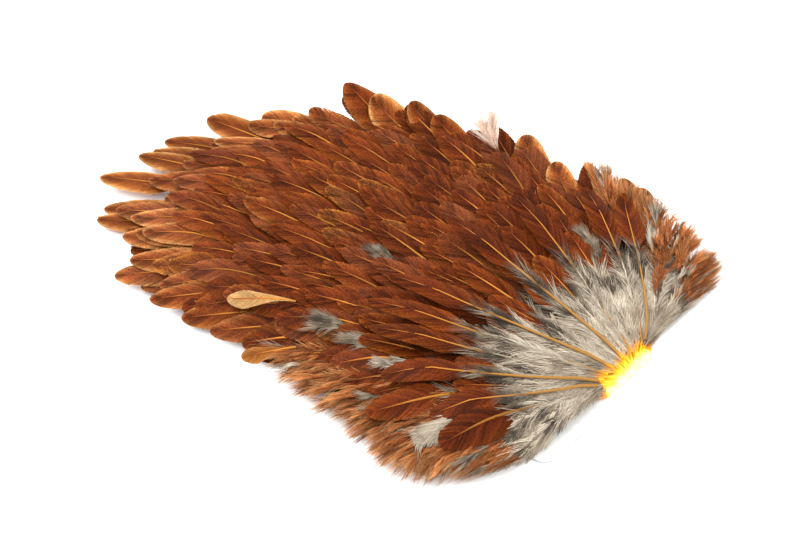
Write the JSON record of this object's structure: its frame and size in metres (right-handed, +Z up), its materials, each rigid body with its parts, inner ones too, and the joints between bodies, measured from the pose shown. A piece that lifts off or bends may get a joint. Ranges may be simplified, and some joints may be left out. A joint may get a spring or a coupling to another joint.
{
  "type": "hen saddle hackle",
  "caption": "Dried saddle patch of a brown hen: feathers fanned in overlapping courses on a strip of hide, mounted on a thin white backing card and lying flat.",
  "frame": {"origin": "on the underside of the backing card, under the middle of the feathers", "axes": "+Y from the cut end of the hide towards the tail tips, +Z up out of the card"},
  "size_m": [0.1486, 0.1914, 0.0155],
  "materials": {
    "card": "white coated card, matt",
    "hide": "dried skin, yellow with fat, slightly glossy",
    "front_feathers": "grey-white down and brown barbs on orange quills",
    "saddle_feathers": "reddish brown vanes with lighter edges and golden shafts, satin",
    "tail_feathers": "thin orange-brown vanes with cream edges, satin",
    "pale_feathers": "cream to pale buff vane, satin",
    "buff_feathers": "buff vane with a loose edge, satin"
  },
  "bodies": {
    "root": {"backing_card": "card", "hide": "hide", "front_feather_01": "front_feathers", "front_feather_02": "front_feathers", "front_feather_03": "front_feathers", "front_feather_04": "front_feathers", "front_feather_05": "front_feathers", "front_feather_06": "front_feathers", "front_feather_07": "front_feathers", "front_feather_08": "front_feathers", "feather_course_01": "saddle_feathers", "feather_course_02": "saddle_feathers", "feather_course_03": "saddle_feathers", "feather_course_04": "saddle_feathers", "feather_course_05": "saddle_feathers", "feather_course_06": "saddle_feathers", "feather_course_07": "saddle_feathers", "feather_course_08": "saddle_feathers", "feather_course_09": "saddle_feathers", "feather_course_10": "saddle_feathers", "tail_feather_01": "tail_feathers", "tail_feather_02": "tail_feathers", "tail_feather_03": "tail_feathers", "tail_feather_04": "tail_feathers", "tail_feather_05": "tail_feathers", "tail_feather_06": "tail_feathers", "tail_feather_07": "tail_feathers", "pale_feather": "pale_feathers", "buff_feather": "buff_feathers", "white_feather": "pale_feathers"}
  },
  "joints": []
}
